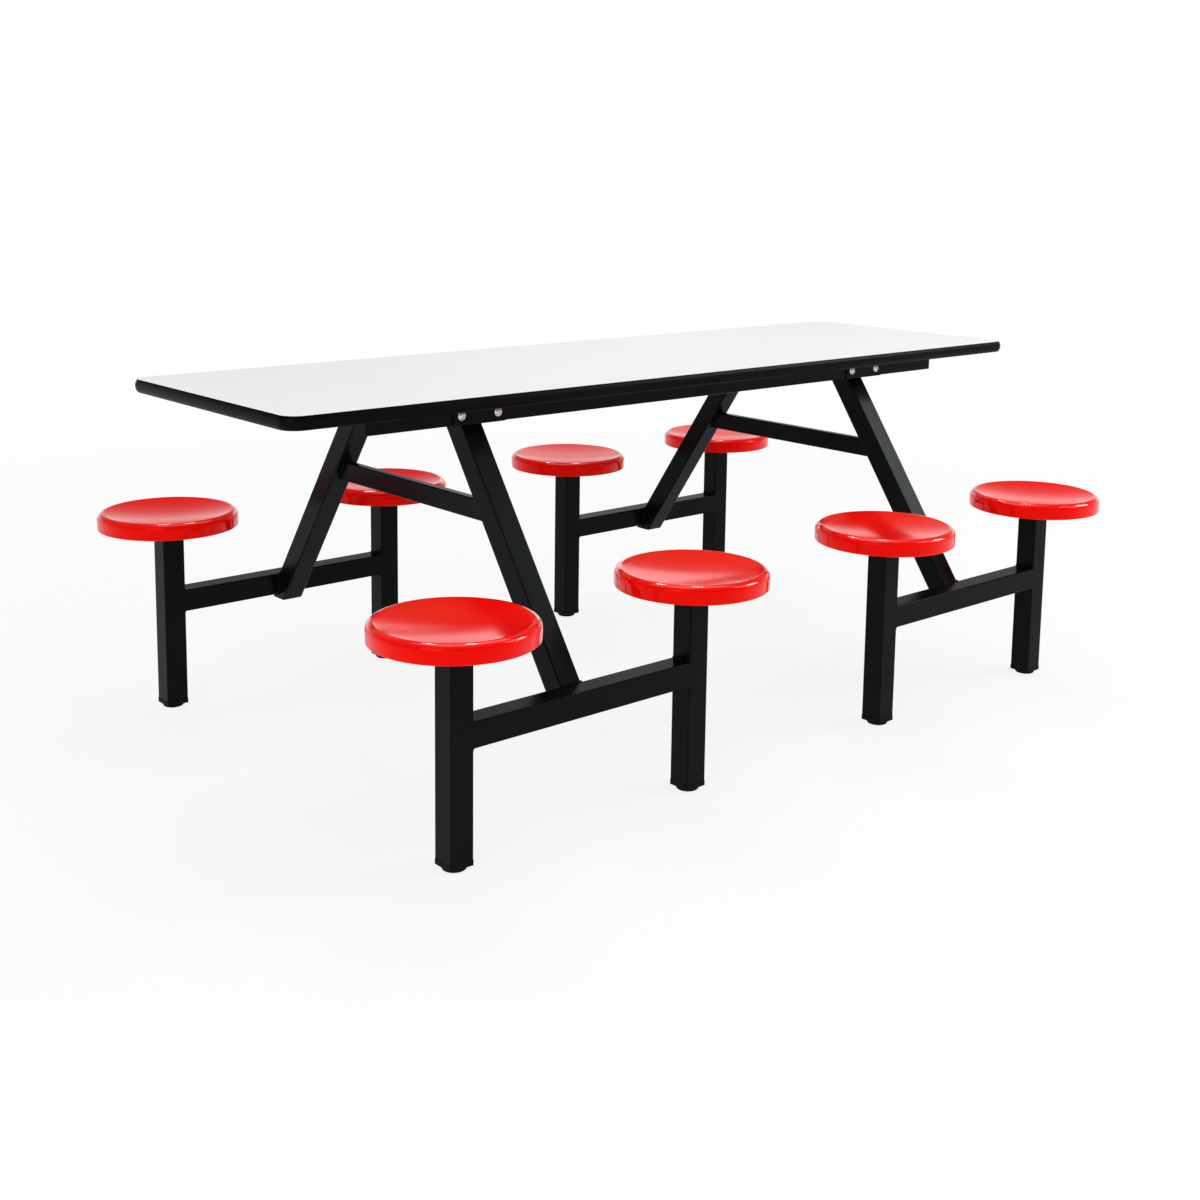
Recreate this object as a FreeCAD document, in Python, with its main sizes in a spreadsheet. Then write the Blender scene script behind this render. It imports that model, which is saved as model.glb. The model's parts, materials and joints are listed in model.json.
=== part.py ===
"""Eight-seat canteen table: a laminate top on two slanted-leg frames, with swivel seats on posts.

Frame of the model: +X along the table, +Y across it to the back, +Z up, in millimetres.
The origin is on the floor under the middle of the top. "Front" is -Y and "left" is -X.
Sizes live in the sheet "Sizes"; FORMULAS holds what follows from them, each written once.
"""
import FreeCAD, Part
import math
import os
import re

import Sketcher
from FreeCAD import Placement, Rotation, Vector

# ---------------------------------------------------------------- driving dimensions

SIZES = {
    # Table top: a board with a laminate skin and a rounded edge band round it.
    "TableLength": 2000,
    "TableWidth": 600,
    "TableHeight": 750,
    "TopCornerRadius": 37,
    "CoreThickness": 24,
    "LaminateThickness": 1,
    "BandBulge": 5,
    "TongueThickness": 2.4,
    "TongueDepth": 9,
    "TonguePlay": 0.2,
    # Rails: square tubes screwed under the board.
    "RailLength": 1596,
    "RailSide": 38,
    "RailWall": 1.5,
    "RailCentreY": 201,
    "RailPlugPlate": 2,
    "RailPlugDepth": 14,
    "RailPlugPlay": 0.15,
    # Screws from the rails into the board.
    "TopScrewPitch": 380,
    "TopScrewRadius": 2.1,
    "TopScrewLength": 18,
    "TopScrewHeadRadius": 4,
    "TopScrewHeadHeight": 2.6,
    "ScrewAccessRadius": 6.5,
    "PilotDepth": 17,
    "HoleClearance": 0.05,
    # Tube of the legs, the seat bars and the posts.
    "TubeSide": 47,
    "TubeWall": 2,
    "TubeCorner": 3,
    # Slanted legs: where the leg's axis runs, counted inwards from the rail and from the bar.
    "FrameX": 552,
    "LegTopInset": 36.1,
    "LegFootInset": 53,
    "LegTopGap": 1.5,
    "LegFootDrop": 10,
    # Crossbars: flat rectangular tubes set on edge between the legs of a frame.
    "CrossbarWidth": 20,
    "CrossbarDepth": 40,
    "CrossbarWall": 1.5,
    "CrossbarHeight": 525,
    # Plates and bolts that clamp each rail to the top of a leg.
    "PlateLength": 120,
    "PlateTopGap": 2,
    "PlateCorner": 2,
    "ClampPlateThickness": 3,
    "LegPlateThickness": 4,
    "BoltSpacing": 84,
    "BoltRise": 18,
    "BoltRadius": 4,
    "BoltLength": 55,
    "BoltHoleRadius": 4.5,
    "BoltFlangeRadius": 8.5,
    "BoltFlangeHeight": 1.4,
    "BoltDomeRadius": 7,
    "BoltDomeHeight": 3.4,
    "BoltKeyFlats": 5,
    "BoltKeyDepth": 2.8,
    "NutFlats": 13,
    "NutHeight": 6.5,
    # Seat bars and posts.
    "BarAxisHeight": 232,
    "PostCentreY": 516,
    "SeatHalfPitch": 271,
    # Plastic cap in the foot of a post, and the levelling foot screwed into it.
    "CapUnderside": 7,
    "CapFlange": 9,
    "CapOverhang": 0.75,
    "CapPlugDepth": 22,
    "CapPlay": 0.2,
    "FootRadius": 21.5,
    "FootEdgeRadius": 3,
    "FootGap": 0.3,
    "StemRadius": 5,
    "StemLength": 34,
    "RunningClearance": 0.05,
    # Seat shell: a dished disc with a rolled rim and a skirt.
    "SeatHeight": 430,
    "SeatRadius": 145,
    "SeatSkirt": 34,
    "RollRadius": 13,
    "CrestRadius": 16,
    "DishDepth": 11,
    "ShellThickness": 4,
    "BossHeight": 6,
    "BossRadius": 6,
    "BossOffset": 30,
    "RibStart": 60,
    "RibDrop": 25,
    "RibThickness": 3,
    "RibCount": 8,
    # Swivel: a housing welded on the post, a plastic bush in it, and the seat's spindle.
    "PivotPlate": 3,
    "PivotPlateInset": 1,
    "HousingRadius": 15,
    "HousingLength": 45,
    "BushWall": 3,
    "BushFlange": 2,
    "BushFlangeRadius": 15,
    "PressAllowance": 0.02,
    "SpindleRadius": 8,
    "SpindleFlange": 4,
    "SpindleFlangeRadius": 55,
    "SwivelGap": 0.3,
    "SpindleTail": 8,
    "ClipGap": 0.6,
    "ClipThickness": 1.2,
    "ClipRadius": 12,
    "ClipGrooveDepth": 1,
    "ClipPlay": 0.05,
    # Screws that hold the seat shell on the spindle's flange.
    "SeatScrewRadius": 2,
    "SeatScrewLength": 11.5,
    "SeatScrewHeadRadius": 4,
    "SeatScrewHeadHeight": 2.4,
    "SeatScrewHoleDepth": 8,
}

# ---------------------------------------------------------------- what follows from them

FORMULAS = {
    "TopUnderside": "TableHeight - LaminateThickness - CoreThickness",
    "CoreMiddle": "TopUnderside + CoreThickness / 2",
    "CoreLength": "TableLength - 2 * BandBulge",
    "CoreWidth": "TableWidth - 2 * BandBulge",
    "CoreCorner": "TopCornerRadius - BandBulge",
    "BandHalfHeight": "(CoreThickness + LaminateThickness) / 2",
    "BandRadius": "(BandHalfHeight ^ 2 + BandBulge ^ 2) / (2 * BandBulge)",
    "GrooveDepth": "TongueDepth + TonguePlay",
    "RailUnderside": "TopUnderside - RailSide",
    "RailAxis": "TopUnderside - RailSide / 2",
    "RailInnerY": "RailCentreY - RailSide / 2",
    "RailOuterY": "RailCentreY + RailSide / 2",
    "BarTop": "BarAxisHeight + TubeSide / 2",
    "BarBottom": "BarAxisHeight - TubeSide / 2",
    "BarInnerY": "PostCentreY - TubeSide / 2",
    "BarLength": "2 * SeatHalfPitch - TubeSide",
    # The leg's axis is at LegTopY at the rail's underside and at LegFootY at the bar's top.
    "LegTopY": "RailCentreY - LegTopInset",
    "LegFootY": "PostCentreY - LegFootInset",
    "LegSlope": "(LegFootY - LegTopY) / (RailUnderside - BarTop)",
    "LegLean": "atan(LegSlope)",
    "LegTop": "TopUnderside - LegTopGap",
    "LegFoot": "BarBottom - LegFootDrop",
    "LegMiddle": "(LegTop + LegFoot) / 2",
    "LegMiddleY": "LegTopY + (RailUnderside - LegMiddle) * LegSlope",
    "LegStock": "(LegTop - LegFoot) / cos(LegLean) + 2 * TubeSide",
    "LegFaceY": "RailInnerY - LegPlateThickness",
    "CrossbarReach": "2 * (LegTopY + (RailUnderside - CrossbarHeight) * LegSlope)",
    "BoltHeight": "RailUnderside + BoltRise",
    "PlateHeight": "RailSide - PlateTopGap",
    "PlateMiddle": "RailUnderside + PlateHeight / 2",
    "PostBottom": "CapUnderside + CapFlange",
    "BossBottom": "SeatHeight - DishDepth - ShellThickness - BossHeight",
    "SpindleSeat": "PivotPlate + BushFlange + SwivelGap",
    "PostTop": "BossBottom - SpindleFlange - SpindleSeat",
    "PostLength": "PostTop - PostBottom",
    "PostMiddle": "(PostTop + PostBottom) / 2",
    "BushInner": "SpindleRadius + RunningClearance",
    "BushOuter": "BushInner + BushWall",
    "ClipTop": "HousingLength + ClipGap",
    "GrooveHeight": "ClipThickness + 2 * ClipPlay",
    # The seat's dish is an arc about the axis, tangent to the arc of the crest.
    "CrestX": "SeatRadius - RollRadius",
    "DishRadius": "(CrestX ^ 2 + (CrestRadius - DishDepth) ^ 2 - CrestRadius ^ 2) / (2 * DishDepth)",
    "DishSine": "CrestX / (DishRadius + CrestRadius)",
    "DishCosine": "sqrt(1 - DishSine ^ 2)",
}

SIDES = {"front": -1, "back": 1}
ENDS = {"left": -1, "right": 1}
SEAT_ENDS = (("left", -1), ("left", 1), ("right", -1), ("right", 1))

document = FreeCAD.newDocument("CanteenTable")
sheet = document.addObject("Spreadsheet::Sheet", "Sizes")
for row, (alias, value) in enumerate(SIZES.items(), start=1):
    sheet.set(f"A{row}", alias)
    sheet.set(f"B{row}", str(value))
    sheet.setAlias(f"B{row}", alias)
document.recompute()

nodes = {}

# ---------------------------------------------------------------- formulas


def formula(text):
    """Spell a formula out for the expression engine, down to cells of the sheet."""
    def spell(match):
        word = match.group(0)
        if word in FORMULAS:
            return f"({formula(FORMULAS[word])})"
        return f"Sizes.{word}" if word in SIZES else word
    return re.sub(r"[A-Za-z]+", spell, str(text))


def number(text):
    """Value of a formula, for a sketch's first guess of its geometry."""
    return float(sheet.evalExpression(formula(text)))


def bind(item, **formulas):
    """Tie properties of an object to formulas."""
    for name, text in formulas.items():
        item.setExpression(name, formula(text))


def place(item, x=0, y=0, z=0, turn=None):
    """Put an object at a place given by formulas, turned by (axis, degrees or formula)."""
    if turn:
        axis, angle = turn
        item.Placement = Placement(Vector(), Rotation(axis, 1 if isinstance(angle, str) else angle))
        if isinstance(angle, str):
            item.setExpression("Placement.Rotation.Angle", formula(angle))
    for letter, text in zip("xyz", (x, y, z)):
        item.setExpression(f"Placement.Base.{letter}", formula(text))
    return item


def mirrored(sign, text):
    """A formula on the side of the middle that the sign gives."""
    return f"{sign} * ({text})"


# ---------------------------------------------------------------- sketches


def sketch_on(body, role, offset=None):
    """A sketch on one of the body's own origin planes, or a formula's distance off it."""
    sketch = body.newObject("Sketcher::SketchObject", f"{body.Name}_sketch")
    plane = next(item for item in body.Origin.OriginFeatures if item.Role == role)
    sketch.AttachmentSupport = [(plane, "")]
    sketch.MapMode = "FlatFace"
    if offset:
        sketch.setExpression("AttachmentOffset.Base.z", formula(offset))
    return sketch


def pin_point(sketch, edge, point, x, y):
    """Fix a point of an edge at coordinates given by formulas."""
    for kind, text, zero_axis in (("DistanceX", x, -2), ("DistanceY", y, -1)):
        if str(text) == "0":
            sketch.addConstraint(Sketcher.Constraint("PointOnObject", edge, point, zero_axis))
        else:
            constraint = Sketcher.Constraint(kind, edge, point, number(text))
            index = sketch.addConstraint(constraint)
            sketch.setExpression(f"Constraints[{index}]", formula(text))


def set_radius(sketch, edge, text):
    """Fix the radius of an arc or a circle."""
    index = sketch.addConstraint(Sketcher.Constraint("Radius", edge, number(text)))
    sketch.setExpression(f"Constraints[{index}]", formula(text))


def circle(sketch, x, y, radius):
    """A circle whose centre and radius are formulas."""
    centre = Vector(number(x), number(y), 0)
    edge = sketch.addGeometry(Part.Circle(centre, Vector(0, 0, 1), number(radius)))
    pin_point(sketch, edge, 3, x, y)
    set_radius(sketch, edge, radius)


def arc_between(start, end, radius, turn):
    """The short arc from start to end: turn is 1 anticlockwise and -1 clockwise."""
    chord = end - start
    height = math.sqrt(max(radius ** 2 - (chord.Length / 2) ** 2, 0))
    left = Vector(-chord.y, chord.x, 0).normalize()
    centre = (start + end) * 0.5 + left * height * turn
    first, last = (start, end) if turn > 0 else (end, start)
    angles = [math.atan2(point.y - centre.y, point.x - centre.x) for point in (first, last)]
    return Part.ArcOfCircle(Part.Circle(centre, Vector(0, 0, 1), radius), *angles)


def outline(sketch, corners):
    """A closed outline. A corner is (x, y), or (x, y, radius, turn) where an arc leaves it."""
    points = [Vector(number(corner[0]), number(corner[1]), 0) for corner in corners]
    edges = []
    for index, corner in enumerate(corners):
        start, end = points[index], points[(index + 1) % len(points)]
        clockwise = len(corner) == 4 and corner[3] < 0
        if len(corner) == 4:
            shape = arc_between(start, end, number(corner[2]), corner[3])
        else:
            shape = Part.LineSegment(start, end)
        first, last = (2, 1) if clockwise else (1, 2)
        edges.append((sketch.addGeometry(shape), first, last))
    for index, (edge, first, last) in enumerate(edges):
        follower, follower_first, _ = edges[(index + 1) % len(edges)]
        sketch.addConstraint(Sketcher.Constraint("Coincident", edge, last, follower, follower_first))
        pin_point(sketch, edge, first, corners[index][0], corners[index][1])
        if len(corners[index]) == 4:
            set_radius(sketch, edge, corners[index][2])


def rounded_rectangle(wide, deep, corner):
    """Corners of a rounded rectangle about the sketch's origin, anticlockwise."""
    x, y = f"({wide}) / 2", f"({deep}) / 2"
    inner_x, inner_y = f"({x} - ({corner}))", f"({y} - ({corner}))"
    return [
        (f"-{inner_x}", f"-{y}"),
        (inner_x, f"-{y}", corner, 1),
        (x, f"-{inner_y}"),
        (x, inner_y, corner, 1),
        (inner_x, y),
        (f"-{inner_x}", y, corner, 1),
        (f"-{x}", inner_y),
        (f"-{x}", f"-{inner_y}", corner, 1),
    ]


def hexagon(flats):
    """Corners of a hexagon about the sketch's origin, by its width across flats."""
    half, low, high = f"({flats}) / 2", f"({flats}) / sqrt(12)", f"({flats}) / sqrt(3)"
    return [
        ("0", f"-{high}"),
        (half, f"-{low}"),
        (half, low),
        ("0", high),
        (f"-{half}", low),
        (f"-{half}", f"-{low}"),
    ]


# ---------------------------------------------------------------- features


def new_body(name):
    """An empty body with the given label."""
    body = document.addObject("PartDesign::Body", name)
    body.Label = name
    return body


def pad(body, sketch, length, way=1):
    """Pad a sketch along its normal (way 1), against it (-1) or both ways alike (0)."""
    feature = body.newObject("PartDesign::Pad", f"{body.Name}_pad")
    feature.Profile = sketch
    feature.SideType = "One side" if way else "Symmetric"
    feature.Reversed = way < 0
    bind(feature, Length=length)
    return feature


def pocket(body, sketch, length=None, way=1):
    """Cut a sketch along its normal (way 1), against it (-1) or both ways (0), or right through."""
    feature = body.newObject("PartDesign::Pocket", f"{body.Name}_pocket")
    feature.Profile = sketch
    feature.SideType = "One side" if way else "Symmetric"
    feature.Reversed = way > 0
    if length:
        bind(feature, Length=length)
    else:
        feature.Type = "ThroughAll"
    return feature


def revolve(body, corners):
    """Turn an outline in the body's XZ plane about its Z axis."""
    sketch = sketch_on(body, "XZ_Plane")
    outline(sketch, corners)
    feature = body.newObject("PartDesign::Revolution", f"{body.Name}_turn")
    feature.Profile = sketch
    feature.ReferenceAxis = (sketch, ["V_Axis"])
    return feature


def tube(name, wide, high, wall, length, role):
    """A rectangular tube with rounded corners, centred on its origin; with no wall it is solid."""
    body = new_body(name)
    section = sketch_on(body, role)
    outline(section, rounded_rectangle(wide, high, "TubeCorner"))
    if wall:
        inside = [f"{size} - 2 * {wall}" for size in (wide, high)]
        outline(section, rounded_rectangle(*inside, f"TubeCorner - {wall}"))
    pad(body, section, length, way=0)
    return body


def group(name, master, places):
    """One node of several like solids: copies of a body at (x, y, z) or (x, y, z, turn)."""
    copies = []
    for spot in places:
        copy = document.addObject("App::Link", f"{name}_copy")
        copy.LinkedObject = master
        copies.append(place(copy, *spot))
    return copies


def store(name, item):
    """Name an object as a node of the model."""
    item.Label = name
    nodes[name] = item
    return item


def store_group(name, *copies):
    """Name a set of copies as one node."""
    compound = document.addObject("Part::Compound", name)
    compound.Links = [copy for members in copies for copy in members]
    return store(name, compound)


# ---------------------------------------------------------------- table top


def core_outline(inset="0"):
    """Outline of the board, or a line inside it."""
    corner = f"(CoreCorner - ({inset}))"
    return rounded_rectangle(f"CoreLength - 2 * ({inset})", f"CoreWidth - 2 * ({inset})", corner)


def screw_spots():
    """Places of the screws along and across the table, as formulas."""
    return [(f"{step} * TopScrewPitch" if step else "0", mirrored(sign, "RailCentreY"))
            for sign in SIDES.values() for step in range(-2, 3)]


def make_core():
    """Board with a groove round its edge for the band's tongue, and pilot holes below."""
    body = new_body("table_core")
    board = sketch_on(body, "XY_Plane")
    outline(board, core_outline())
    pad(body, board, "CoreThickness", way=0)
    groove = sketch_on(body, "XY_Plane")
    outline(groove, core_outline("-BandBulge"))
    outline(groove, core_outline("GrooveDepth"))
    pocket(body, groove, "TongueThickness + TonguePlay", way=0)
    holes = sketch_on(body, "XY_Plane", "-CoreThickness / 2")
    for x, y in screw_spots():
        circle(holes, x, y, "TopScrewRadius + HoleClearance")
    pocket(body, holes, "PilotDepth")
    store("table_core", place(body, z="CoreMiddle"))


def make_laminate():
    """Skin on the board's upper face."""
    body = new_body("table_laminate")
    skin = sketch_on(body, "XY_Plane")
    outline(skin, core_outline())
    pad(body, skin, "LaminateThickness")
    store("table_laminate", place(body, z="TopUnderside + CoreThickness"))


def make_edge_band():
    """Rounded band swept round the board, with the tongue that holds it."""
    body = new_body("table_edge_band")
    path = sketch_on(body, "XY_Plane")
    corners = core_outline()
    # The path starts in the middle of the front edge, where the section stands.
    outline(path, [("0", "-CoreWidth / 2")] + corners[1:] + corners[:1])
    edge, bottom, top = "-CoreWidth / 2", "-CoreThickness / 2", "CoreThickness / 2 + LaminateThickness"
    section = sketch_on(body, "YZ_Plane")
    outline(section, [
        (edge, bottom),
        (edge, "-TongueThickness / 2"),
        (f"{edge} + TongueDepth", "-TongueThickness / 2"),
        (f"{edge} + TongueDepth", "TongueThickness / 2"),
        (edge, "TongueThickness / 2"),
        (edge, top, "BandRadius", 1),
    ])
    sweep = body.newObject("PartDesign::AdditivePipe", "band_sweep")
    sweep.Profile = section
    sweep.Spine = (path, [])
    store("table_edge_band", place(body, z="CoreMiddle"))


# ---------------------------------------------------------------- rails and their fixings


def make_rail(side, sign):
    """Tube under the board, drilled for the clamp bolts and for the screws into the board."""
    body = tube(f"rail_{side}", "RailSide", "RailSide", "RailWall", "RailLength", "YZ_Plane")
    bolts = sketch_on(body, "XZ_Plane")
    for end in ENDS.values():
        for half in (-1, 1):
            circle(bolts, f"{end} * FrameX + {half} * BoltSpacing / 2", "BoltRise - RailSide / 2",
                   "BoltHoleRadius")
    pocket(body, bolts, way=0)
    for radius, way in (("TopScrewRadius + HoleClearance", 1), ("ScrewAccessRadius", -1)):
        holes = sketch_on(body, "XY_Plane")
        for step in range(-2, 3):
            circle(holes, f"{step} * TopScrewPitch" if step else "0", "0", radius)
        pocket(body, holes, way=way)
    store(f"rail_{side}", place(body, y=mirrored(sign, "RailCentreY"), z="RailAxis"))


def make_rail_plugs():
    """Plastic plugs that close the rails' ends."""
    body = new_body("rail_plug")
    face = sketch_on(body, "YZ_Plane")
    outline(face, rounded_rectangle("RailSide", "RailSide", "TubeCorner"))
    pad(body, face, "RailPlugPlate")
    insert = sketch_on(body, "YZ_Plane")
    inside = "RailSide - 2 * RailWall - 2 * RailPlugPlay"
    outline(insert, rounded_rectangle(inside, inside, "TubeCorner - RailWall"))
    pad(body, insert, "RailPlugDepth", way=-1)
    places = [(mirrored(end, "RailLength / 2"), mirrored(sign, "RailCentreY"), "RailAxis",
               (Vector(0, 0, 1), 0 if end > 0 else 180))
              for end in ENDS.values() for sign in SIDES.values()]
    store_group("rail_end_plugs", group("rail_plug", body, places))


def make_top_screws():
    """Pan-head screws that stand inside the rails and hold the board."""
    body = new_body("top_screw")
    shank = "TopScrewRadius"
    revolve(body, [
        ("0", "-TopScrewHeadHeight"),
        ("TopScrewHeadRadius * 0.7", "-TopScrewHeadHeight"),
        ("TopScrewHeadRadius", "-TopScrewHeadHeight / 2"),
        ("TopScrewHeadRadius", "0"),
        (shank, "0"),
        (shank, "TopScrewLength - 2 * TopScrewRadius"),
        ("0", "TopScrewLength"),
    ])
    places = [(x, y, "TopUnderside - RailWall") for x, y in screw_spots()]
    store_group("top_screws", group("top_screw", body, places))


def make_plates(name, thickness, middle_y):
    """Drilled plates on one face of the rails, one at each leg."""
    body = new_body(f"{name}_master")
    face = sketch_on(body, "XZ_Plane")
    outline(face, rounded_rectangle("PlateLength", "PlateHeight", "PlateCorner"))
    for half in (-1, 1):
        circle(face, f"{half} * BoltSpacing / 2", "BoltRise - PlateHeight / 2", "BoltHoleRadius")
    pad(body, face, thickness, way=0)
    places = [(mirrored(end, "FrameX"), mirrored(sign, middle_y), "PlateMiddle")
              for end in ENDS.values() for sign in SIDES.values()]
    store_group(name, group(name, body, places))


def bolt_places(distance_y):
    """Places on the bolts' axes, turned so that local +Z points away from the table's middle."""
    return [(f"{end} * FrameX + {half} * BoltSpacing / 2", mirrored(sign, distance_y), "BoltHeight",
             (Vector(1, 0, 0), -90 * sign))
            for end in ENDS.values() for half in (-1, 1) for sign in SIDES.values()]


def make_bolts():
    """Flanged button-head bolts with a hexagon key recess."""
    body = new_body("bracket_bolt")
    dome_base = "BoltFlangeHeight"
    dome_top = "BoltFlangeHeight + BoltDomeHeight"
    flat = "BoltKeyFlats / sqrt(3) + 0.4"
    span = f"(BoltDomeRadius - ({flat}))"
    dome = f"({span} ^ 2 + BoltDomeHeight ^ 2) / (2 * BoltDomeHeight) + BoltDomeHeight / 2"
    revolve(body, [
        ("0", "-BoltLength"),
        ("BoltRadius - 1", "-BoltLength"),
        ("BoltRadius", "1 - BoltLength"),
        ("BoltRadius", "0"),
        ("BoltFlangeRadius", "0"),
        ("BoltFlangeRadius", "BoltFlangeHeight / 2"),
        ("BoltDomeRadius", dome_base, dome, 1),
        (flat, dome_top),
        ("0", dome_top),
    ])
    key = sketch_on(body, "XY_Plane", dome_top)
    outline(key, hexagon("BoltKeyFlats"))
    pocket(body, key, "BoltKeyDepth", way=-1)
    places = bolt_places("RailOuterY + ClampPlateThickness")
    store_group("bracket_bolts", group("bracket_bolt", body, places))


def make_nuts():
    """Hexagon nuts on the inner side of the leg plates."""
    body = new_body("bracket_nut")
    face = sketch_on(body, "XY_Plane")
    outline(face, hexagon("NutFlats"))
    circle(face, "0", "0", "BoltRadius + HoleClearance")
    pad(body, face, "NutHeight", way=-1)
    places = bolt_places("LegFaceY")
    store_group("bracket_nuts", group("bracket_nut", body, places))


# ---------------------------------------------------------------- frames


def leg_tube(name, wall, end, sign):
    """Slanted length of tube on a leg's axis, longer than the leg."""
    body = tube(name, "TubeSide", "TubeSide", wall, "LegStock", "XY_Plane")
    return place(body, mirrored(end, "FrameX"), mirrored(sign, "LegMiddleY"), "LegMiddle",
                 (Vector(sign, 0, 0), "LegLean"))


def box(name, end, sign, near_y, low, high):
    """Block across a leg, from near_y outwards and between two heights."""
    block = document.addObject("Part::Box", name)
    reach = "PostCentreY + TubeSide"
    bind(block, Length="2 * TubeSide", Width=f"{reach} - ({near_y})", Height=f"({high}) - ({low})")
    outer_or_near = near_y if sign > 0 else f"-({reach})"
    return place(block, f"{end} * FrameX - TubeSide", outer_or_near, low)


def make_leg(end_name, end, side_name, sign):
    """Leg cut level at both ends, and cut round the rail above and the seat bar below."""
    name = f"leg_{side_name}_{end_name}"
    level = document.addObject("Part::Common", f"{name}_level")
    level.Base = leg_tube(f"{name}_tube", "TubeWall", end, sign)
    level.Tool = box(f"{name}_slab", end, sign, "0", "LegFoot", "LegTop")
    cutter = document.addObject("Part::MultiFuse", f"{name}_cutter")
    cutter.Shapes = [
        box(f"{name}_rail_space", end, sign, "LegFaceY", "RailUnderside", "TableHeight"),
        box(f"{name}_bar_space", end, sign, "BarInnerY", "BarBottom", "BarTop"),
        box(f"{name}_foot_trim", end, sign, "PostCentreY", "LegFoot - LegFootDrop", "BarTop"),
    ]
    leg = document.addObject("Part::Cut", name)
    leg.Base = level
    leg.Tool = cutter
    store(name, leg)


def make_crossbar(end_name, end):
    """Level tube between a frame's two legs, its ends cut to the legs' faces."""
    name = f"crossbar_{end_name}"
    stock = tube(f"{name}_tube", "CrossbarWidth", "CrossbarDepth", "CrossbarWall", "CrossbarReach",
                 "XZ_Plane")
    place(stock, mirrored(end, "FrameX"), "0", "CrossbarHeight")
    blanks = document.addObject("Part::Compound", f"{name}_ends")
    blanks.Links = [leg_tube(f"{name}_{side}_end", None, end, sign) for side, sign in SIDES.items()]
    crossbar = document.addObject("Part::Cut", name)
    crossbar.Base = stock
    crossbar.Tool = blanks
    store(name, crossbar)


def make_seat_bar(end_name, end, side_name, sign):
    """Level tube between two posts."""
    name = f"seat_bar_{side_name}_{end_name}"
    bar = tube(name, "TubeSide", "TubeSide", "TubeWall", "BarLength", "YZ_Plane")
    store(name, place(bar, mirrored(end, "FrameX"), mirrored(sign, "PostCentreY"), "BarAxisHeight"))


def post_x(end, half):
    """Place of a post along the table: half is -1 or 1 about its frame."""
    return f"{end} * FrameX + {half} * SeatHalfPitch"


def post_spots(height):
    """Places on the eight posts' axes at one height."""
    return [(post_x(ENDS[end], half), mirrored(sign, "PostCentreY"), height)
            for sign in SIDES.values() for end, half in SEAT_ENDS]


def make_posts():
    """Upright tubes, in a pair for each seat bar."""
    body = tube("post", "TubeSide", "TubeSide", "TubeWall", "PostLength", "XY_Plane")
    for side_name, sign in SIDES.items():
        for end_name, end in ENDS.items():
            places = [(post_x(end, half), mirrored(sign, "PostCentreY"), "PostMiddle")
                      for half in (-1, 1)]
            name = f"posts_{side_name}_{end_name}"
            store_group(name, group(name, body, places))


# ---------------------------------------------------------------- feet


def make_end_caps():
    """Plastic caps pressed into the posts, bored for the feet's stems."""
    body = new_body("post_cap")
    flange = sketch_on(body, "XY_Plane")
    side = "TubeSide + 2 * CapOverhang"
    outline(flange, rounded_rectangle(side, side, "TubeCorner + CapOverhang"))
    pad(body, flange, "CapFlange", way=-1)
    plug = sketch_on(body, "XY_Plane")
    inside = "TubeSide - 2 * TubeWall - 2 * CapPlay"
    outline(plug, rounded_rectangle(inside, inside, "TubeCorner - TubeWall"))
    pad(body, plug, "CapPlugDepth")
    bore = sketch_on(body, "XY_Plane")
    circle(bore, "0", "0", "StemRadius + RunningClearance")
    pocket(body, bore, way=0)
    store_group("post_end_caps", group("post_cap", body, post_spots("PostBottom")))


def make_foot(name, x, y):
    """Round levelling foot with its stem."""
    body = new_body(name)
    disc_top = "CapUnderside - FootGap"
    revolve(body, [
        ("0", "0"),
        ("FootRadius - FootEdgeRadius", "0", "FootEdgeRadius", 1),
        ("FootRadius", "FootEdgeRadius"),
        ("FootRadius", disc_top),
        ("StemRadius", disc_top),
        ("StemRadius", f"{disc_top} + StemLength"),
        ("0", f"{disc_top} + StemLength"),
    ])
    store(name, place(body, x, y))


# ---------------------------------------------------------------- swivel seats


def make_pivot_housings():
    """Plate on the top of each post, with the tube that holds the bush."""
    body = new_body("pivot_housing")
    plate = sketch_on(body, "XY_Plane")
    side = "TubeSide - 2 * PivotPlateInset"
    outline(plate, rounded_rectangle(side, side, "TubeCorner"))
    pad(body, plate, "PivotPlate")
    barrel = sketch_on(body, "XY_Plane")
    circle(barrel, "0", "0", "HousingRadius")
    pad(body, barrel, "HousingLength", way=-1)
    bore = sketch_on(body, "XY_Plane")
    circle(bore, "0", "0", "BushOuter + PressAllowance")
    pocket(body, bore, way=0)
    store_group("pivot_housings", group("pivot_housing", body, post_spots("PostTop")))


def make_pivot_bushes():
    """Flanged plastic bushes in the housings."""
    body = new_body("pivot_bush")
    revolve(body, [
        ("BushInner", "-HousingLength"),
        ("BushOuter", "-HousingLength"),
        ("BushOuter", "PivotPlate"),
        ("BushFlangeRadius", "PivotPlate"),
        ("BushFlangeRadius", "PivotPlate + BushFlange"),
        ("BushInner", "PivotPlate + BushFlange"),
    ])
    store_group("pivot_bushes", group("pivot_bush", body, post_spots("PostTop")))


def boss_spots():
    """Places of the seat's four screws about its axis."""
    return [(mirrored(across, "BossOffset"), mirrored(along, "BossOffset"))
            for across in (-1, 1) for along in (-1, 1)]


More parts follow.
